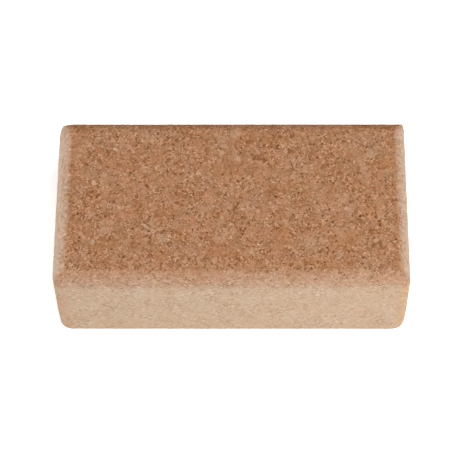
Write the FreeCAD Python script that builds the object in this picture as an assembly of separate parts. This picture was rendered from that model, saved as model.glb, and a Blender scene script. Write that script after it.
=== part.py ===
import FreeCAD, Part
import math
import os
import random

# A yoga block of pressed cork granulate: a firm brick with rounded edges.
# The fine granulate and its binder are one body. Coarse chips lie flush in its faces, each in its own pocket.
# Millimetres. The origin is the centre of the face that the block lies on, +X along its length and +Z up.

# The block
block_length = 227.0
block_width = 120.0
block_thickness = 75.0
# The edges round the top and the bottom, and the four upright edges, which are tighter
edge_radius = 9.0
upright_edge_radius = 7.0

# Pale chips of clean cork
pale_chip_size = 5.0
pale_chip_depth = 2.2

# Red-brown chips
russet_chip_size = 5.5
russet_chip_depth = 2.4

# Dark flecks of the bark's crust
bark_fleck_size = 3.2
bark_fleck_depth = 1.4

# How the coarse pieces lie in a face
chip_gap = 16.5
face_margin = 2.0

# The kinds of coarse piece: node name, size and depth
chip_kinds = [
    ("pale_cork_chips", pale_chip_size, pale_chip_depth),
    ("russet_cork_chips", russet_chip_size, russet_chip_depth),
    ("bark_flecks", bark_fleck_size, bark_fleck_depth),
]

# A chip's form: how far its size, slimness and corners stray, and how much narrower its inner end is
size_spread_share = 0.42
slimness_spread_share = 0.45
corner_spread_share = 0.55
inner_end_share = 0.6
fewest_corners = 5
most_corners = 7

# How far a chip strays in its cell of the face's grid
stray_share = 0.92

# The press works along Z, so chips in the upright faces are flatter that way
pressed_flat_share = 0.7
unpressed_share = 1.0

x_axis = FreeCAD.Vector(1, 0, 0)
y_axis = FreeCAD.Vector(0, 1, 0)
z_axis = FreeCAD.Vector(0, 0, 1)


def block_faces():
    """The six flat faces: name, centre, the two directions in the face, their extents, and the chips' flatness."""
    middle = z_axis * (block_thickness / 2)
    along = x_axis * (block_length / 2)
    across = y_axis * (block_width / 2)
    return [
        ("top", middle * 2, x_axis, y_axis, block_length, block_width, unpressed_share),
        ("bottom", FreeCAD.Vector(), x_axis, -y_axis, block_length, block_width, unpressed_share),
        ("front", middle - across, x_axis, z_axis, block_length, block_thickness, pressed_flat_share),
        ("back", middle + across, -x_axis, z_axis, block_length, block_thickness, pressed_flat_share),
        ("right", middle + along, y_axis, z_axis, block_width, block_thickness, pressed_flat_share),
        ("left", middle - along, -y_axis, z_axis, block_width, block_thickness, pressed_flat_share),
    ]


def chip_outline(draws, size, flat_share):
    """Corners of an irregular convex chip as (u, v) offsets: points strung round a slim, turned ellipse."""
    corner_count = draws.randint(fewest_corners, most_corners)
    slim_share = 1 - slimness_spread_share * draws.random()
    turn = math.pi * draws.random()
    corners = []
    for corner in range(corner_count):
        angle = 2 * math.pi * (corner + corner_spread_share * (draws.random() - 0.5)) / corner_count
        long_side = size / 2 * math.cos(angle)
        short_side = size / 2 * slim_share * math.sin(angle)
        u = long_side * math.cos(turn) - short_side * math.sin(turn)
        v = long_side * math.sin(turn) + short_side * math.cos(turn)
        corners.append((u, v * flat_share))
    return corners


def flat_face(points):
    """A flat face on a closed run of corners."""
    return Part.Face(Part.makePolygon(points + points[:1]))


def chip_solid(outer, inner):
    """A chip with its outline in the block's face, drawn in towards a like but smaller inner end."""
    faces = [flat_face(outer), flat_face(inner)]
    for corner in range(len(outer)):
        before = corner - 1
        faces.append(flat_face([outer[before], outer[corner], inner[corner], inner[before]]))
    return Part.makeSolid(Part.makeShell(faces))


def make_chips():
    """All coarse chips by node name: one in each cell of a grid over each face, strayed from its middle.
    The kinds take turns along a row, in an order of the row's own, so every face shows all of them."""
    largest_chip = max(pale_chip_size, russet_chip_size, bark_fleck_size)
    chip_spacing = largest_chip + chip_gap
    chips = {node: [] for node, size, depth in chip_kinds}
    for name, centre, u_axis, v_axis, u_extent, v_extent, flat_share in block_faces():
        inward = -u_axis.cross(v_axis)
        u_room = u_extent - 2 * (edge_radius + face_margin)
        v_room = v_extent - 2 * (edge_radius + face_margin)
        columns = max(1, math.floor(u_room / chip_spacing))
        rows = max(1, math.floor(v_room / chip_spacing))
        u_cell = u_room / columns
        v_cell = v_room / rows
        for row in range(rows):
            row_kinds = random.Random(f"{name} {row}").sample(chip_kinds, len(chip_kinds))
            for column in range(columns):
                draws = random.Random(f"{name} {row} {column}")
                node, size, depth = row_kinds[column % len(row_kinds)]
                size = size * (1 - size_spread_share * draws.random())
                u_stray = (draws.random() - 0.5) * stray_share * (u_cell - largest_chip)
                v_stray = (draws.random() - 0.5) * stray_share * (v_cell - largest_chip)
                u_place = (column + 0.5) * u_cell - u_room / 2 + u_stray
                v_place = (row + 0.5) * v_cell - v_room / 2 + v_stray
                seat = centre + u_axis * u_place + v_axis * v_place
                bed = seat + inward * depth
                outline = chip_outline(draws, size, flat_share)
                outer = [seat + u_axis * u + v_axis * v for u, v in outline]
                inner = [bed + (u_axis * u + v_axis * v) * inner_end_share for u, v in outline]
                chips[node].append(chip_solid(outer, inner))
    return chips


def make_body(chips):
    """The fine granulate: a brick with all its edges rounded, pocketed for every chip.
    It is what three bricks share, each rounded along one direction, so its edges meet in mitres at the corners."""
    corner = FreeCAD.Vector(-block_length / 2, -block_width / 2, 0)
    brick = Part.makeBox(block_length, block_width, block_thickness, corner)
    rounded = []
    for run, radius in ((x_axis, edge_radius), (y_axis, edge_radius), (z_axis, upright_edge_radius)):
        edges = [edge for edge in brick.Edges if edge.Curve.Direction.dot(run)]
        rounded.append(brick.makeFillet(radius, edges))
    every_chip = [chip for group in chips.values() for chip in group]
    return rounded[0].common(rounded[1]).common(rounded[2]).cut(every_chip).Solids[0]


os.makedirs("parts", exist_ok=True)

coarse_chips = make_chips()
make_body(coarse_chips).exportStep("parts/cork_body.step")
for node, group in coarse_chips.items():
    Part.makeCompound(group).exportStep(f"parts/{node}.step")
    print(node, len(group))
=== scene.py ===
import math
import random

import bpy
import numpy as np
from mathutils import Matrix, Vector


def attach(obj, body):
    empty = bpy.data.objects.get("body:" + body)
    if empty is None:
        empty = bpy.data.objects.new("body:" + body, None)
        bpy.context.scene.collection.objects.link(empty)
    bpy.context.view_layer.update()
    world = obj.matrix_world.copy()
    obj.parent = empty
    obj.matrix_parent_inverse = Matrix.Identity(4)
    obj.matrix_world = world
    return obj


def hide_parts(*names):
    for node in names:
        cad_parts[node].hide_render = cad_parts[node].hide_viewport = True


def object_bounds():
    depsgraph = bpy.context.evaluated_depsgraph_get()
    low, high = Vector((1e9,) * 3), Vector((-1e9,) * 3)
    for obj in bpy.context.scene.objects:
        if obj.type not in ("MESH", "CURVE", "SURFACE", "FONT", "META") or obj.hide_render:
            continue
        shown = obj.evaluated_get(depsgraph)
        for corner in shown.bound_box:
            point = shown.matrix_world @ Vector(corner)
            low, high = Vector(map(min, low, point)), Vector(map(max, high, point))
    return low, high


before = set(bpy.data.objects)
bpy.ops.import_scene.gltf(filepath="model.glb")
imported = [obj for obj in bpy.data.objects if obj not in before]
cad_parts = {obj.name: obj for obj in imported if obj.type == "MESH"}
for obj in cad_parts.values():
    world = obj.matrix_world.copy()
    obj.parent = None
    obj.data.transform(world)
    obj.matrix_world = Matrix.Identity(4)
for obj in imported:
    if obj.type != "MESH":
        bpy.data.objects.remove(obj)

# The CAD box, and the block's sizes from it. Everything is in metres.
cad_low, cad_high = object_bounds()
LENGTH, WIDTH, THICKNESS = cad_high - cad_low
MIDDLE = (cad_low + cad_high) / 2
X, Y, Z = range(3)
EDGE_RADIUS = 0.009
# The upright edges at their tightest, and how far each goes from the edge radius towards that.
# At its foot an upright edge keeps the edge radius.
TIGHT_RADIUS = 0.005
BACK_LEFT_TIGHT = 0.5
BACK_RIGHT_TIGHT = 1.0
FRONT_LEFT_TIGHT = 0.6
FRONT_RIGHT_TIGHT = 1.0
FOOT_HEIGHT = 0.026

# The dressed block's mesh: its quads' size, how far its points slide on the flats, the steps in half of a
# rounded edge, and the gap between its sides in the map for its textures
MESH_PITCH = 0.00105
MESH_SLIDE = 0.0003
TURN_STEPS = round(EDGE_RADIUS * math.pi / 4 / MESH_PITCH)
CHART_GAP = 0.006
# How finely a point's place on a rounded edge is found
HALVINGS = 40
ROUND_SLACK = 1e-9

# Grain of the pressed granulate. Grains are flatter along Z, the way that the press works, and a little
# longer along Y.
PRESSED_FORM = (1.0, 0.91, 1.15)
FINE_GRAIN = 0.00095
COARSE_GRAIN = 0.0021
COARSE_SHARE = 0.2
COARSE_TONES = (0.03, 0.86)
GRAIN_WARP = 0.0006
GRAIN_WARP_SIZE = 0.0014
SEAM_WIDTH = 0.00018
FUZZ_SIZE = 0.00055
# Large grains, which are smoother inside, and of which the palest are a little greyer
LARGE_GRAIN = 0.0052
LARGE_SHARE = 0.4
LARGE_RIM = 0.0006
LARGE_CALM = 0.48
LARGE_TONE = 0.065
SIDE_LARGE_TONE = 0.025
LARGE_HUE = 0.03
LARGE_PALE_POWER = 3.0
LARGE_PALE_TINT = (-0.005, 0.018, 0.035)
# Torn-out pits: their cells' size, the share of cells that hold one, the largest radius, the smallest as a
# share of it, and the share of its own radius within which a pit is at its deepest
PIT_SPACING = 0.006
PIT_SHARE = 0.55
PIT_RADIUS = 0.0011
PIT_SMALLEST = 0.4
PIT_FLOOR = 0.45
# Streaks in the upright sides, across the way that the press works
STREAK_LENGTH = 0.0027
STREAK_FLATNESS = 2.85
# Stretches of the sides where the grain shows less and more
LIVELY_SIZE = 0.009
LIVELY_RANGE = (0.55, 1.65)
# A noise's detail and middle, and the span that holds most of it
NOISE_DETAIL = 2.0
NOISE_MIDDLE = 0.5
NOISE_SPAN = (0.3, 0.7)

# Relief, all of it inward from the CAD surface
RELIEF_INSET = 0.00005
SEAM_DEPTH = 0.00008
GRAIN_DEPTH = 0.0001
PIT_DEPTH = 0.0005
WAVE_DEPTH = 0.00012
WAVE_SIZE = 0.024

# Coarse chips: rings as shares of the solid's outline, with the depth below the block's face at each
CHIP_RINGS = [(0.4, 0.00005), (0.75, 0.00006), (0.92, 0.0001), (1.0, 0.0002), (0.97, 0.0005)]
CHIP_INNER_SHARE = 0.6
# How much of each side a corner's cut takes, how often corners are cut, and how uneven the outline is
CORNER_CUT = 0.25
CORNER_CUTS = 2
CHIP_JITTER = 0.07
# Points of a solid that agree to so many decimals are one, and points this near to a side lie in it
SPOT_DECIMALS = 6
FLUSH_GAP = 0.00001
# The block's pocket under a chip
POCKET_SHARE = 0.88
POCKET_DEPTH = 0.0003

# Colours as display values, which a Gamma node turns into light
DISPLAY_GAMMA = 2.2
EVEN_SHADE = (1.0, 1.0, 1.0)
TOP_TAN = (0.686, 0.500, 0.369)
# A painted highlight of the front lamp where the top meets its front edge
FRONT_HIGHLIGHT_TAN = (0.694, 0.518, 0.394)
# The next three colours, paler and greyer than the top's, are partly the sawn cork's own colour and partly
# painted sheen and light from the front and side lamps
EDGE_TAN_AND_SHEEN = (0.679, 0.536, 0.433)
END_TAN_AND_SHEEN = (0.786, 0.673, 0.585)
SIDE_TAN_AND_SHEEN = (0.716, 0.610, 0.511)
PALE_TINT = (0.045, 0.075, 0.09)
RUSSET_TINT = (-0.01, -0.04, -0.05)
BARK_TINT = (-0.14, -0.13, -0.11)
# The upright rounded edges are warmer in spots, at the right end golden, and the top's back edge is darker
# with painted shade, where it turns away from the lamps
LEFT_EDGE_TINT = (0.008, -0.025, -0.03)
RIGHT_EDGE_TINT = (0.012, -0.011, -0.037)
BACK_EDGE_PAINTED_SHADE = (-0.03, -0.024, -0.016)
EDGE_WANDER = 3.0
EDGE_MOTTLE_SIZE = 0.004
EDGE_MOTTLE_RANGE = (0.1, 1.9)
# Grains and patches turn towards russet or gold, and wider patches are bleached, less so on the cut sides
GRAIN_HUE = 0.006
PATCH_SIZE = 0.008
PATCH_HUE = 0.075
PATCH_GOLD = 0.045
RUSSET_TURN = (0.62, -0.25, -0.36)
GOLD_TURN = (0.0, 0.5, -0.5)
BLEACH_SIZE = 0.013
BLEACH_TINT = (0.05, 0.108, 0.155)
SIDE_HUE_SHARE = 0.45

# The flat top's pale border, partly painted sheen, is a little wider on the left than on the right
CUT_AND_SHEEN_SHIFT = 0.0009
# Where the painted highlight on the top's front edge begins, how that line slants, and how soft and uneven
# it is
HIGHLIGHT_START = 0.0089
HIGHLIGHT_TILT = 0.009
HIGHLIGHT_BLUR = 0.001
HIGHLIGHT_WANDER = 0.003
# How soft the colours' mitres at the corners are, and how much of the ends' pale cut and painted sheen is
# left at the front
MITRE_BLUR = 0.3
FRONT_CORNER_CUT_AND_SHEEN = 0.3
FRONT_CORNER_REACH = 0.8
# The depth below the top over which the sides' pale cut and painted sheen come in, how its line slants and
# wanders, and where it stops at the foot
CUT_AND_SHEEN_DEPTH = 0.017
CUT_AND_SHEEN_TILT = 0.004
CUT_AND_SHEEN_WANDER = 0.009
CUT_AND_SHEEN_WANDER_SIZE = 0.003
PALE_FOOT = 0.0015
PALE_FOOT_STEEPNESS = 2.0
# How the colours, with their painted sheen, highlight and shade, and the grain change on the way round the
# edges, as (place, height) stops
END_CUT_AND_SHEEN_CURVE = [(0.03, 0.0), (0.1, 0.32), (0.2, 0.48), (0.42, 0.74), (0.71, 0.95), (1.0, 1.0)]
SIDE_CUT_AND_SHEEN_CURVE = [(0.24, 0.0), (0.38, 0.25), (0.49, 0.5), (0.57, 0.75), (0.67, 0.95), (0.76, 1.0)]
UPRIGHT_EDGE_CURVE = [(0.0, 0.0), (0.25, 0.6), (0.5, 1.0), (0.75, 0.9), (1.0, 0.6)]
FRONT_EDGE_TAN_AND_SHEEN_CURVE = [(0.0, 0.0), (0.3, 0.3), (0.75, 1.0)]
BACK_EDGE_SHADE_CURVE = [(0.05, 0.0), (0.3, 1.0)]
CALM_SIDE_CURVE = [(0.5, 0.0), (0.62, 0.6), (0.72, 1.0)]
CALM_EDGE_CURVE = [(0.0, 0.0), (0.12, 0.25), (0.3, 0.55), (0.5, 0.66), (0.9, 0.66), (1.0, 0.42)]

# The grains' tones, from a curve through (draw, tone) stops, what else adds to them, and how far they shade
# the cork
TONE_CURVE = [
    (0.0, 0.1), (0.04, 0.24), (0.12, 0.35), (0.3, 0.44),
    (0.5, 0.5), (0.7, 0.56), (0.9, 0.64), (1.0, 0.76),
]
FUZZ_TONE = 0.2
# Seams are darker as joints between grains and partly as painted contact shade in their grooves
SEAM_JOINT_AND_SHADE_TONE = -0.1
PIT_TONE = -0.35
SIDE_PIT_TONE = -0.32
STREAK_TONE = 0.86
TONE_RANGE = 0.59
SIDE_TONE_RANGE = 0.21

# The chips' flesh: streaks, slow changes and pores, and what they and the fuzz add to its tone
CHIP_GRAIN = 0.0016
CHIP_STREAK_FORM = (1.0, 2.2, 1.6)
CHIP_CHANGE_SIZE = 0.024
PORE_REACH = (0.28, 0.12)
CHIP_STREAK_TONE = 0.6
CHIP_FUZZ_TONE = 0.5
CHIP_CHANGE_TONE = 0.3
PORE_TONE = -0.15
SIDE_TINT_SHARE = 0.6

# The cork's surface: its bump and what makes its height, its gloss and its roughness
BUMP_STRENGTH = 0.35
BUMP_DISTANCE = 0.0002
SEAM_HEIGHT = -0.5
FUZZ_HEIGHT = 0.6
PORE_HEIGHT = -0.6
SPECULAR_LEVEL = 0.3
GRAIN_ROUGHNESS = (0.95, 0.75)
CHIP_ROUGHNESS = (0.9, 0.75)

# Camera, from the block's outline in the photograph
CAMERA_AZIMUTH = math.radians(1.15)
CAMERA_ELEVATION = math.radians(60.8)
CAMERA_ROLL = math.radians(-1.01)
CAMERA_DISTANCE = 1.318
CAMERA_REACH = 10 * CAMERA_DISTANCE
CAMERA_AIM_RIGHT = 0.00034
CAMERA_AIM_DOWN = 0.00385
CAMERA_LENS = 155.0

# Soft lights: name, bearing and elevation in degrees, distance, size and watts
SOFTBOXES = [
    ("overhead", 30, 62, 3.2, 2.4, 110),
    ("front", 38, 5, 0.45, 0.3, 0.38),
    ("left", -98, 18, 3.0, 1.9, 45),
    ("right", 80, 40, 1.2, 0.75, 2.1),
]

# The floor, and its own light, which grows over a stretch of the way out
WHITE = (1, 1, 1, 1)
FLOOR_HALF = 4.0
FLOOR_GREY = (0.92, 0.92, 0.92, 1)
FLOOR_ROUGHNESS = 0.9
FLOOR_GLOW_STRETCH = (0.5, 2.0)
FLOOR_GLOW = (0.5, 1.0)


class NodeMaker:
    """Short calls that make and join nodes in a material's or a geometry's node tree."""

    def __init__(self, tree):
        self.tree = tree

    def node(self, kind, inputs=None, **settings):
        made = self.tree.nodes.new(kind)
        for name, value in settings.items():
            setattr(made, name, value)
        for key, value in (inputs or {}).items():
            if isinstance(value, bpy.types.NodeSocket):
                self.tree.links.new(value, made.inputs[key])
            else:
                made.inputs[key].default_value = value
        return made

    def math(self, operation, *values):
        return self.node("ShaderNodeMath", dict(enumerate(values)), operation=operation).outputs[0]

    def vector(self, operation, *values):
        return self.node("ShaderNodeVectorMath", dict(enumerate(values)), operation=operation).outputs[0]

    def scaled(self, vector, scale):
        inputs = {"Vector": vector, "Scale": scale}
        return self.node("ShaderNodeVectorMath", inputs, operation="SCALE").outputs[0]

    def tinted(self, colour, tint, amount):
        """A colour with so much of a tint added."""
        return self.vector("ADD", colour, self.scaled(tint, amount))

    def split(self, vector):
        return self.node("ShaderNodeSeparateXYZ", {0: vector}).outputs

    def centred(self, value):
        """A draw or a noise about 0 instead of its middle."""
        return self.math("SUBTRACT", value, NOISE_MIDDLE)

    def centred_colour(self, colour):
        """A noise's three values about 0 instead of their middle."""
        return self.vector("SUBTRACT", colour, (NOISE_MIDDLE, NOISE_MIDDLE, NOISE_MIDDLE))

    def noise(self, place, size):
        """Value about 0.5 and three of them as a colour, wandering over the given size."""
        inputs = {"Vector": place, "Scale": 1 / size, "Detail": NOISE_DETAIL}
        return self.node("ShaderNodeTexNoise", inputs).outputs

    def cells(self, place, size, feature="F1"):
        """Voronoi cells of about the given size. Distances are shares of that size."""
        inputs = {"Vector": place, "Scale": 1 / size}
        return self.node("ShaderNodeTexVoronoi", inputs, feature=feature).outputs

    def remap(self, value, low, high, to_low=0.0, to_high=1.0, smooth=True):
        inputs = {"Value": value, "From Min": low, "From Max": high, "To Min": to_low, "To Max": to_high}
        kind = "SMOOTHSTEP" if smooth else "LINEAR"
        return self.node("ShaderNodeMapRange", inputs, interpolation_type=kind).outputs[0]

    def blend(self, factor, first, second):
        """A number between two others."""
        return self.node("ShaderNodeMix", {0: factor, 2: first, 3: second}, data_type="FLOAT").outputs[0]

    def blend_vector(self, factor, first, second):
        return self.node("ShaderNodeMix", {0: factor, 4: first, 5: second}, data_type="VECTOR").outputs[1]

    def ramp(self, value, stops):
        """A grey curve through (place, height) stops."""
        made = self.node("ShaderNodeValToRGB", {0: value})
        elements = made.color_ramp.elements
        while len(elements) < len(stops):
            elements.new(1.0)
        for element, (place, height) in zip(elements, stops):
            element.position = place
            element.color = (height, height, height, 1.0)
        return made.outputs[0]


def grains(make, place, size):
    """Grains of about one size: three draws for each, and how far a place lies from its grain's edge."""
    draws = make.split(make.cells(place, size)["Color"])
    edge = make.cells(place, size, "DISTANCE_TO_EDGE")["Distance"]
    return draws, make.math("MULTIPLY", edge, size)


def grain_field(make, place):
    """The granulate at a place: each grain's tone and hue draws, how near a seam is, torn-out pits and
    large grains."""
    pressed = make.vector("MULTIPLY", place, PRESSED_FORM)
    drift = make.centred_colour(make.noise(pressed, GRAIN_WARP_SIZE)[1])
    warped = make.vector("ADD", pressed, make.scaled(drift, 2 * GRAIN_WARP))
    fine_draws, fine_edge = grains(make, warped, FINE_GRAIN)
    coarse_draws, coarse_edge = grains(make, warped, COARSE_GRAIN)
    whole = make.math("LESS_THAN", coarse_draws[0], COARSE_SHARE)
    edge = make.blend(whole, make.math("MINIMUM", fine_edge, coarse_edge), coarse_edge)
    coarse_tone = make.remap(coarse_draws[1], 0.0, 1.0, *COARSE_TONES, smooth=False)
    pits = make.cells(warped, PIT_SPACING)
    pit_draws = make.split(pits["Color"])
    pit_reach = make.math("MULTIPLY", pits["Distance"], PIT_SPACING)
    pit_size = make.remap(pit_draws[0], 0.0, 1.0, PIT_SMALLEST * PIT_RADIUS, PIT_RADIUS)
    pit_shape = make.remap(make.math("DIVIDE", pit_reach, pit_size), 1.0, PIT_FLOOR)
    large_draws, large_edge = grains(make, warped, LARGE_GRAIN)
    large = make.math("LESS_THAN", large_draws[0], LARGE_SHARE)
    large = make.math("MULTIPLY", make.remap(large_edge, 0.0, LARGE_RIM), large)
    # Cubed, so that few large grains stand out and most hardly do
    large_tone = make.math("MULTIPLY_ADD", large_draws[1], 2.0, -1.0)
    large_tone = make.math("MULTIPLY", large_tone, make.math("MULTIPLY", large_tone, large_tone))
    return {
        "tone": make.blend(whole, fine_draws[0], coarse_tone),
        "hue": make.blend(whole, fine_draws[1], coarse_draws[2]),
        "seam": make.remap(edge, SEAM_WIDTH, 0.0),
        "pit": make.math("MULTIPLY", pit_shape, make.math("LESS_THAN", pit_draws[1], PIT_SHARE)),
        "large": large,
        "large_tone": make.math("MULTIPLY", large_tone, large),
        "large_hue": make.math("MULTIPLY", make.centred(large_draws[2]), large),
    }


def other_axes(axis):
    return [other for other in range(3) if other != axis]


def side_place(axis, way):
    """Where one side of the CAD box lies along its axis."""
    return cad_high[axis] if way > 0 else cad_low[axis]


def gap_to_side(points, axis, way):
    """How far points lie from one side of the CAD box."""
    return np.abs(points[:, axis] - side_place(axis, way))


def runs_clockwise(across, up, way):
    """Whether the turn from one axis to the other is clockwise, seen from outside a side facing this way."""
    return ((across + 1) % 3 == up) != (way > 0)


def read_chips(node):
    """Each chip of a CAD node: the side of the block that it shows on, its outline there and its depth."""
    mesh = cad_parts[node].data
    spots = [tuple(round(value, SPOT_DECIMALS) for value in vertex.co) for vertex in mesh.vertices]
    group_of = {spot: spot for spot in spots}

    def leader(spot):
        while group_of[spot] != spot:
            spot = group_of[spot]
        return spot

    for polygon in mesh.polygons:
        first, *others = (leader(spots[index]) for index in polygon.vertices)
        for other in others:
            group_of[leader(other)] = leader(first)
    groups = {}
    for spot in group_of:
        groups.setdefault(leader(spot), []).append(spot)
    sides = [(axis, way) for axis in range(3) for way in (-1, 1)]
    chips = []
    for group in sorted(sorted(group) for group in groups.values()):
        points = np.array(group)
        axis, way = max(sides, key=lambda side: np.count_nonzero(gap_to_side(points, *side) < FLUSH_GAP))
        gaps = gap_to_side(points, axis, way)
        chips.append({"axis": axis, "way": way, "outer": points[gaps < FLUSH_GAP], "depth": gaps.max()})
    return chips


def round_outline(chip, draws):
    """A chip's outline as seen on its face, with its corners cut and a little unevenness."""
    outline = chip["outer"][:, other_axes(chip["axis"])]
    middle = outline.mean(axis=0)
    outline = outline - middle
    outline = outline[np.argsort(np.arctan2(outline[:, 1], outline[:, 0]))]
    for _ in range(CORNER_CUTS):
        following = np.roll(outline, -1, axis=0)
        after = (1 - CORNER_CUT) * outline + CORNER_CUT * following
        before = CORNER_CUT * outline + (1 - CORNER_CUT) * following
        outline = np.stack([after, before], axis=1).reshape(-1, 2)
    uneven = np.array([1 + CHIP_JITTER * draws.uniform(-1, 1) for _ in outline])
    return middle, outline * uneven[:, None]


def smooth_mesh(name, points, faces):
    mesh = bpy.data.meshes.new(name)
    mesh.from_pydata(points, [], faces)
    mesh.polygons.foreach_set("use_smooth", [True] * len(faces))
    mesh.update()
    return mesh


def chips_mesh(name, chips):
    """Closed chips: a low crown in the block's face, a rounded rim and a narrower inner end."""
    points = []
    faces = []
    for chip in chips:
        across, up = other_axes(chip["axis"])
        side = side_place(chip["axis"], chip["way"])
        count = len(chip["outline"])
        first = len(points)
        rings = CHIP_RINGS + [(CHIP_INNER_SHARE, chip["depth"])]
        for share, depth in rings:
            for u, v in chip["outline"] * share + chip["middle"]:
                point = [0.0, 0.0, 0.0]
                point[chip["axis"]] = side - chip["way"] * depth
                point[across], point[up] = u, v
                points.append(point)
        made = [list(range(first, first + count))]
        for start in range(first, len(points) - count, count):
            below = start + count
            for step in range(count):
                following = (step + 1) % count
                made.append([start + step, below + step, below + following, start + following])
        made.append(list(range(len(points) - count, len(points)))[::-1])
        faces += [face[::-1] for face in made] if runs_clockwise(across, up, chip["way"]) else made
    return smooth_mesh(name, points, faces)


def stations(extent):
    """Places along one side of the block, and how far each lies along the surface from the first.
    The flat stretch has even steps, and the rounded ends have even angles up to 45 degrees."""
    half_flat = extent / 2 - EDGE_RADIUS
    turns = np.linspace(0, math.pi / 4, TURN_STEPS + 1)[1:]
    flat = np.linspace(-half_flat, half_flat, round(2 * half_flat / MESH_PITCH) + 1)
    rounded = half_flat + EDGE_RADIUS * np.tan(turns)
    along = half_flat + EDGE_RADIUS * turns
    places = np.concatenate([-rounded[::-1], flat, rounded])
    lengths = np.concatenate([-along[::-1], flat, along])
    return places, lengths - lengths[0]


def sink_pocket(points, chip):
    """Lowers the block's surface under a chip."""
    flat = points[:, other_axes(chip["axis"])] - chip["middle"]
    rim = chip["outline"] * POCKET_SHARE
    under = gap_to_side(points, chip["axis"], chip["way"]) < FLUSH_GAP
    under &= np.abs(flat).max(axis=1) < np.abs(rim).max()
    for start, end in zip(rim, np.roll(rim, -1, axis=0)):
        run = end - start
        under &= run[0] * (flat[:, 1] - start[1]) > run[1] * (flat[:, 0] - start[0])
    points[under, chip["axis"]] -= chip["way"] * POCKET_DEPTH


def round_off(points, half):
    """Draws points on a box in towards its core until they lie on the block.
    Its corners lie between a ball's and those that three bricks share, each rounded along one direction."""
    core = np.clip(points, EDGE_RADIUS - half, half - EDGE_RADIUS)
    outward = points - core
    near, far = np.zeros(len(points)), np.ones(len(points))
    for _ in range(HALVINGS):
        share = (near + far) / 2
        trial = np.abs(core + outward * share[:, None])
        inside = np.ones(len(points), bool)
        for axis, radius in ((X, EDGE_RADIUS), (Y, EDGE_RADIUS), (Z, TIGHT_RADIUS)):
            first, second = other_axes(axis)
            turned = np.maximum(trial - half + radius, 0)
            inside &= np.hypot(turned[:, first], turned[:, second]) <= radius * (1 + ROUND_SLACK)
        near, far = np.where(inside, share, near), np.where(inside, far, share)
    ball = EDGE_RADIUS / np.linalg.norm(outward, axis=1)
    back = np.where(points[:, X] > 0, BACK_RIGHT_TIGHT, BACK_LEFT_TIGHT)
    front = np.where(points[:, X] > 0, FRONT_RIGHT_TIGHT, FRONT_LEFT_TIGHT)
    tight = np.where(points[:, Y] > 0, back, front)
    tight = tight * np.clip((points[:, Z] + half[Z]) / FOOT_HEIGHT, 0, 1)
    return core + outward * (ball + tight * (far - ball))[:, None]


def block_mesh(chips):
    """A rounded block of even quads, pocketed for the chips.
    Its six sides are laid out side by side in the map for its textures."""
    places, lengths = zip(*(stations(extent) for extent in (LENGTH, WIDTH, THICKNESS)))
    long_side, wide_side, thick_side = (side[-1] for side in lengths)
    below_top = wide_side + CHART_GAP
    right_of_top = long_side + CHART_GAP
    below_bottom = 2 * below_top
    below_front = below_bottom + thick_side + CHART_GAP
    map_size = below_front + thick_side
    # Each side: the axis it faces and which way, the axes that its map runs along, and its map's corner
    sides = [
        (Z, 1, X, Y, (0, 0)),
        (Z, -1, X, Y, (0, below_top)),
        (Y, -1, X, Z, (0, below_bottom)),
        (Y, 1, X, Z, (0, below_front)),
        (X, 1, Z, Y, (right_of_top, 0)),
        (X, -1, Z, Y, (right_of_top, below_top)),
    ]
    draws = random.Random("splits")
    numbers = {}
    quads = []
    maps = []
    for facing, way, across, up, corner in sides:
        last = len(places[facing]) - 1 if way > 0 else 0
        flips = runs_clockwise(across, up, way)
        columns = len(places[across]) - 1
        rows = len(places[up]) - 1
        for i in range(columns):
            for j in range(rows):
                steps = [(i, j), (i + 1, j), (i + 1, j + 1), (i, j + 1)]
                if flips:
                    steps.reverse()
                # A quad is split from its first point: along the mitre at a corner, and either way elsewhere
                rising = draws.random() < 0.5
                if max(min(i, columns - 1 - i), min(j, rows - 1 - j)) < TURN_STEPS:
                    rising = (i < columns / 2) == (j < rows / 2)
                if rising == flips:
                    steps.append(steps.pop(0))
                quad = []
                for step_across, step_up in steps:
                    key = [0, 0, 0]
                    key[facing], key[across], key[up] = last, step_across, step_up
                    quad.append(numbers.setdefault(tuple(key), len(numbers)))
                    u = corner[0] + lengths[across][step_across]
                    v = corner[1] + lengths[up][step_up]
                    maps.append((u / map_size, v / map_size))
                quads.append(quad)
    half = np.array([LENGTH, WIDTH, THICKNESS]) / 2
    outer = np.array([[places[axis][key[axis]] for axis in range(3)] for key in numbers])
    # On the flats the points are slid off their even grid, which the relief would show
    slide = np.random.default_rng(len(outer)).uniform(-MESH_SLIDE, MESH_SLIDE, outer.shape)
    outer += np.where(np.abs(outer) < half - EDGE_RADIUS, slide, 0)
    points = round_off(outer, half) + np.array([0, 0, THICKNESS / 2])
    for chip in chips:
        sink_pocket(points, chip)
    mesh = smooth_mesh("cork_block", points.tolist(), quads)
    mesh.uv_layers.new(name="OFBake").uv.foreach_set("vector", np.array(maps, np.float32).ravel())
    return mesh


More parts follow.
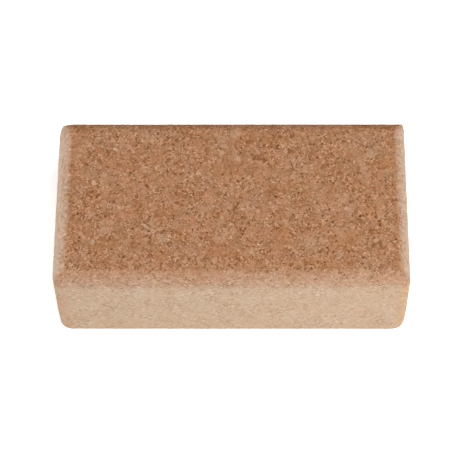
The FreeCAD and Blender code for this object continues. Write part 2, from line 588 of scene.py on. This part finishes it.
def relief_group():
    """Geometry nodes that sink the surface: grooves between grains, uneven grains, pits and slow waves."""
    group = bpy.data.node_groups.new("cork_relief", "GeometryNodeTree")
    group.interface.new_socket("Geometry", in_out="INPUT", socket_type="NodeSocketGeometry")
    group.interface.new_socket("Geometry", in_out="OUTPUT", socket_type="NodeSocketGeometry")
    make = NodeMaker(group)
    place = make.node("GeometryNodeInputPosition").outputs[0]
    normal = make.node("GeometryNodeInputNormal").outputs[0]
    grain = grain_field(make, place)
    wave = make.noise(place, WAVE_SIZE)[0]
    depth = RELIEF_INSET
    for amount, share in (
        (SEAM_DEPTH, grain["seam"]),
        (GRAIN_DEPTH, grain["hue"]),
        (PIT_DEPTH, grain["pit"]),
        (WAVE_DEPTH, wave),
    ):
        depth = make.math("MULTIPLY_ADD", share, amount, depth)
    inward = make.scaled(normal, make.math("MULTIPLY", depth, -1.0))
    geometry = make.node("NodeGroupInput").outputs[0]
    moved = make.node("GeometryNodeSetPosition", {"Geometry": geometry, "Offset": inward}).outputs[0]
    make.node("NodeGroupOutput", {0: moved})
    return group


def add_object(name, data):
    made = bpy.data.objects.new(name, data)
    bpy.context.scene.collection.objects.link(made)
    return made


def apply_modifiers(piece):
    """Keeps the piece's final mesh, with its modifiers worked in."""
    depsgraph = bpy.context.evaluated_depsgraph_get()
    piece_mesh = bpy.data.meshes.new_from_object(piece.evaluated_get(depsgraph))
    piece.modifiers.clear()
    piece.data = piece_mesh


def face_colours(make, place):
    """The cork's colour before its grain, and how far a place is cut: 0 on the flat top, 1 on the upright
    sides. The colour holds painted sheen and light on the rounded edges, the ends and the sides, a painted
    highlight on the front edge and painted shade on the back edge. A turn goes from 0, where a rounded edge
    begins, to 1 at the side that it leads to."""
    x, y, z = make.split(place)
    from_end = make.math("ABSOLUTE", make.math("SUBTRACT", x, CUT_AND_SHEEN_SHIFT))
    end_turn = make.remap(from_end, LENGTH / 2 - EDGE_RADIUS, LENGTH / 2, smooth=False)
    front_turn = make.remap(y, EDGE_RADIUS - WIDTH / 2, -WIDTH / 2, smooth=False)
    back_turn = make.remap(y, WIDTH / 2 - EDGE_RADIUS, WIDTH / 2, smooth=False)
    side_turn = make.math("MAXIMUM", front_turn, back_turn)
    # The pale cut of the upright sides, partly painted sheen, comes in unevenly below the rounded edges
    wander = make.centred(make.noise(place, CUT_AND_SHEEN_WANDER_SIZE)[0])
    above_foot = make.math("MULTIPLY_ADD", z, PALE_FOOT_STEEPNESS, PALE_FOOT)
    below = make.math("MINIMUM", make.math("SUBTRACT", THICKNESS, z), above_foot)
    below = make.math("MULTIPLY_ADD", x, CUT_AND_SHEEN_TILT, below)
    below = make.math("MULTIPLY_ADD", wander, CUT_AND_SHEEN_WANDER, below)
    below = make.math("DIVIDE", below, CUT_AND_SHEEN_DEPTH)
    side_cut_and_sheen = make.ramp(below, SIDE_CUT_AND_SHEEN_CURVE)
    # The end's pale cut and painted sheen stop at the mitre with the front's and the back's rounded edge
    from_mitre = make.math("SUBTRACT", end_turn, side_turn)
    end_cut_and_sheen = make.ramp(end_turn, END_CUT_AND_SHEEN_CURVE)
    end_cut_and_sheen = make.math("MULTIPLY", end_cut_and_sheen, make.remap(from_mitre, -MITRE_BLUR, MITRE_BLUR))
    front_share = make.remap(front_turn, 0.0, FRONT_CORNER_REACH, 1.0, FRONT_CORNER_CUT_AND_SHEEN)
    end_cut_and_sheen = make.math("MULTIPLY", end_cut_and_sheen, front_share)
    # The front edge's painted highlight starts from a line on the top, which slants a little and wanders
    highlight_line = make.math("MULTIPLY_ADD", x, -HIGHLIGHT_TILT, y)
    highlight_line = make.math("MULTIPLY_ADD", wander, HIGHLIGHT_WANDER, highlight_line)
    front_highlight = make.remap(highlight_line, HIGHLIGHT_START - WIDTH / 2, HIGHLIGHT_START - HIGHLIGHT_BLUR - WIDTH / 2)
    colour = make.blend_vector(front_highlight, TOP_TAN, FRONT_HIGHLIGHT_TAN)
    # Painted sheen with the paler colours of the front's rounded edge, the ends and the sides
    colour = make.blend_vector(make.ramp(front_turn, FRONT_EDGE_TAN_AND_SHEEN_CURVE), colour, EDGE_TAN_AND_SHEEN)
    colour = make.blend_vector(end_cut_and_sheen, colour, END_TAN_AND_SHEEN)
    colour = make.blend_vector(side_cut_and_sheen, colour, SIDE_TAN_AND_SHEEN)
    # The upright edges are tinted in spots, and the top's back edge is darkened all along with painted shade
    both_turns = make.math("MINIMUM", end_turn, side_turn)
    both_turns = make.math("MULTIPLY", both_turns, make.math("MULTIPLY_ADD", wander, EDGE_WANDER, 1.0))
    mottle = make.remap(make.noise(place, EDGE_MOTTLE_SIZE)[0], *NOISE_SPAN, *EDGE_MOTTLE_RANGE)
    upright_edge = make.math("MULTIPLY", make.ramp(both_turns, UPRIGHT_EDGE_CURVE), mottle)
    upright_edge = make.math("MULTIPLY", upright_edge, side_cut_and_sheen)
    at_right = make.math("GREATER_THAN", x, 0.0)
    colour = make.tinted(colour, make.blend_vector(at_right, LEFT_EDGE_TINT, RIGHT_EDGE_TINT), upright_edge)
    back_edge_shade = make.ramp(back_turn, BACK_EDGE_SHADE_CURVE)
    back_edge_shade = make.math("MULTIPLY", back_edge_shade, make.math("SUBTRACT", 1.0, side_cut_and_sheen))
    colour = make.tinted(colour, BACK_EDGE_PAINTED_SHADE, back_edge_shade)
    # The grain calms down at a sharper line than the colour; on the sides the calmer grain partly stands in
    # for the painted sheen's veil
    cut = make.math("MAXIMUM", end_cut_and_sheen, make.ramp(below, CALM_SIDE_CURVE))
    return colour, make.math("MAXIMUM", cut, make.ramp(front_turn, CALM_EDGE_CURVE))


def start_material(name):
    material = bpy.data.materials.new(name)
    material.use_nodes = True
    material.node_tree.nodes.clear()
    make = NodeMaker(material.node_tree)
    return material, make, make.node("ShaderNodeTexCoord").outputs["Object"]


def finish_material(make, colour, height, roughness):
    """The matt cork surface, from a display colour and a height."""
    light = make.node("ShaderNodeGamma", {"Color": colour, "Gamma": DISPLAY_GAMMA}).outputs[0]
    bump = make.node("ShaderNodeBump", {
        "Strength": BUMP_STRENGTH,
        "Distance": BUMP_DISTANCE,
        "Height": height,
    }).outputs[0]
    surface = make.node("ShaderNodeBsdfPrincipled", {
        "Base Color": light,
        "Roughness": roughness,
        "Normal": bump,
        "Specular IOR Level": SPECULAR_LEVEL,
    }).outputs[0]
    make.node("ShaderNodeOutputMaterial", {"Surface": surface})


def granulate_material():
    """Pressed cork: grains of many tones, dark seams and pits, russet and golden patches."""
    material, make, place = start_material("pressed_granulate")
    colour, cut = face_colours(make, place)
    grain = grain_field(make, place)
    fuzz = make.noise(place, FUZZ_SIZE)[0]

    tone = make.centred(make.ramp(grain["tone"], TONE_CURVE))
    tone = make.math("MULTIPLY_ADD", make.centred(fuzz), FUZZ_TONE, tone)
    # Dark joints between grains, partly painted contact shade in their grooves
    tone = make.math("MULTIPLY_ADD", grain["seam"], SEAM_JOINT_AND_SHADE_TONE, tone)
    tone = make.math("MULTIPLY", tone, make.blend(grain["large"], 1.0, 1 - LARGE_CALM))
    large_weight = make.blend(cut, LARGE_TONE, SIDE_LARGE_TONE)
    tone = make.math("MULTIPLY_ADD", grain["large_tone"], large_weight, tone)
    tone = make.math("MULTIPLY_ADD", grain["pit"], make.blend(cut, PIT_TONE, SIDE_PIT_TONE), tone)
    flattened = make.vector("MULTIPLY", place, (1.0, 1.0, STREAK_FLATNESS))
    streaks = make.centred(make.noise(flattened, STREAK_LENGTH)[0])
    tone = make.math("MULTIPLY_ADD", streaks, make.math("MULTIPLY", cut, STREAK_TONE), tone)
    lively = make.remap(make.noise(place, LIVELY_SIZE)[0], *NOISE_SPAN, *LIVELY_RANGE)
    side_range = make.math("MULTIPLY", lively, SIDE_TONE_RANGE)
    shade = make.math("MULTIPLY", tone, make.blend(cut, TONE_RANGE, side_range))
    colour = make.tinted(colour, EVEN_SHADE, shade)

    # These turns of the colour are weaker where the cork is cut
    patch = make.split(make.centred_colour(make.noise(place, PATCH_SIZE)[1]))
    russet = make.math("MULTIPLY", make.centred(grain["hue"]), GRAIN_HUE)
    russet = make.math("MULTIPLY_ADD", grain["large_hue"], LARGE_HUE, russet)
    russet = make.math("MULTIPLY_ADD", patch[0], PATCH_HUE, russet)
    gold = make.math("MULTIPLY", patch[1], PATCH_GOLD)
    pale_grain = make.math("MAXIMUM", grain["large_tone"], 0.0)
    pale_grain = make.math("POWER", pale_grain, LARGE_PALE_POWER)
    bleach = make.centred(make.noise(place, BLEACH_SIZE)[0])
    calm = make.blend(cut, 1.0, SIDE_HUE_SHARE)
    for tint, amount in (
        (RUSSET_TURN, russet),
        (GOLD_TURN, gold),
        (LARGE_PALE_TINT, pale_grain),
        (BLEACH_TINT, bleach),
    ):
        colour = make.tinted(colour, tint, make.math("MULTIPLY", amount, calm))

    height = make.math("MULTIPLY_ADD", grain["seam"], SEAM_HEIGHT, grain["hue"])
    height = make.math("MULTIPLY_ADD", fuzz, FUZZ_HEIGHT, height)
    finish_material(make, colour, height, make.remap(grain["tone"], 0.0, 1.0, *GRAIN_ROUGHNESS))
    return material


def chip_material(name, tint):
    """One cork chip's flesh: the block's colour with a tint, fine streaks along the bark's growth and small
    pores."""
    material, make, place = start_material(name)
    colour, cut = face_colours(make, place)
    streaks = make.noise(make.vector("MULTIPLY", place, CHIP_STREAK_FORM), CHIP_GRAIN)[0]
    fuzz = make.noise(place, FUZZ_SIZE)[0]
    change = make.noise(place, CHIP_CHANGE_SIZE)[0]
    pores = make.remap(make.cells(place, CHIP_GRAIN)["Distance"], *PORE_REACH)
    tone = make.math("MULTIPLY", make.centred(streaks), CHIP_STREAK_TONE)
    tone = make.math("MULTIPLY_ADD", make.centred(fuzz), CHIP_FUZZ_TONE, tone)
    tone = make.math("MULTIPLY_ADD", make.centred(change), CHIP_CHANGE_TONE, tone)
    tone = make.math("MULTIPLY_ADD", pores, PORE_TONE, tone)
    shade = make.math("MULTIPLY", tone, make.blend(cut, TONE_RANGE, SIDE_TONE_RANGE))
    colour = make.tinted(colour, tint, make.blend(cut, 1.0, SIDE_TINT_SHARE))
    colour = make.tinted(colour, EVEN_SHADE, shade)
    height = make.math("MULTIPLY_ADD", pores, PORE_HEIGHT, make.math("ADD", streaks, fuzz))
    finish_material(make, colour, height, make.remap(fuzz, *NOISE_SPAN, *CHIP_ROUGHNESS))
    return material


def make_chips(name, node, tint):
    """All the chips of one kind as one piece, in the place of their solids."""
    draws = random.Random(name)
    chips = read_chips(node)
    for chip in chips:
        chip["middle"], chip["outline"] = round_outline(chip, draws)
    piece = add_object(name, chips_mesh(name, chips))
    piece.data.materials.append(chip_material(name + "_flesh", tint))
    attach(piece, "root")
    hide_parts(node)
    return chips


def make_block(chips):
    block = add_object("cork_block", block_mesh(chips))
    relief = block.modifiers.new("relief", "NODES")
    relief.node_group = relief_group()
    apply_modifiers(block)
    block.data.materials.append(granulate_material())
    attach(block, "root")
    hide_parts("cork_body")


def bearing(turn, rise):
    """The way from the block to something round it, turned from its front to its right and raised."""
    flat = math.cos(rise)
    return Vector((math.sin(turn) * flat, -math.cos(turn) * flat, math.sin(rise)))


def add_camera():
    back = bearing(CAMERA_AZIMUTH, CAMERA_ELEVATION)
    right = Vector((math.cos(CAMERA_AZIMUTH), math.sin(CAMERA_AZIMUTH), 0))
    right.rotate(Matrix.Rotation(CAMERA_ROLL, 3, back))
    stand = MIDDLE + back * CAMERA_DISTANCE
    aim = MIDDLE + right * CAMERA_AIM_RIGHT - back.cross(right) * CAMERA_AIM_DOWN
    back = (stand - aim).normalized()
    right = (right - back * right.dot(back)).normalized()
    camera = add_object("camera", bpy.data.cameras.new("camera"))
    camera.data.lens = CAMERA_LENS
    camera.data.clip_end = CAMERA_REACH
    axes = Matrix((right, back.cross(right), back)).transposed()
    camera.matrix_world = Matrix.Translation(stand) @ axes.to_4x4()
    bpy.context.scene.camera = camera


def add_softbox(name, azimuth, elevation, distance, size, power):
    """An area light at a bearing round the block, 0 in front and 90 to the right, that faces the block."""
    way = bearing(math.radians(azimuth), math.radians(elevation))
    light = add_object(name, bpy.data.lights.new(name, "AREA"))
    light.data.energy = power
    light.data.size = size
    light.location = MIDDLE + way * distance
    light.rotation_euler = way.to_track_quat("Z", "Y").to_euler()


def add_floor():
    """A pale floor. Its own light makes up for the lamps' further out, so that it is as pale there."""
    corners = [(x * FLOOR_HALF, y * FLOOR_HALF, 0) for x, y in ((-1, -1), (1, -1), (1, 1), (-1, 1))]
    mesh = bpy.data.meshes.new("floor")
    mesh.from_pydata(corners, [], [(0, 1, 2, 3)])
    floor = add_object("floor", mesh)
    material, make, place = start_material("pale_floor")
    away = make.node("ShaderNodeVectorMath", {0: place}, operation="LENGTH").outputs["Value"]
    surface = make.node("ShaderNodeBsdfPrincipled", {
        "Base Color": FLOOR_GREY,
        "Roughness": FLOOR_ROUGHNESS,
        "Emission Color": WHITE,
        "Emission Strength": make.remap(away, *FLOOR_GLOW_STRETCH, *FLOOR_GLOW),
    }).outputs[0]
    make.node("ShaderNodeOutputMaterial", {"Surface": surface})
    mesh.materials.append(material)


def add_surroundings():
    """White surroundings that show behind the block, which only the lights and the floor light."""
    world = bpy.data.worlds.new("studio")
    bpy.context.scene.world = world
    world.use_nodes = True
    background = world.node_tree.nodes["Background"]
    background.inputs["Color"].default_value = WHITE
    world.cycles_visibility.diffuse = False
    world.cycles_visibility.glossy = False


every_chip = make_chips("pale_chips", "pale_cork_chips", PALE_TINT)
every_chip += make_chips("russet_chips", "russet_cork_chips", RUSSET_TINT)
every_chip += make_chips("bark_chips", "bark_flecks", BARK_TINT)
make_block(every_chip)
add_camera()
add_floor()
add_surroundings()
for softbox in SOFTBOXES:
    add_softbox(*softbox)
bpy.context.scene.view_settings.view_transform = "Standard"
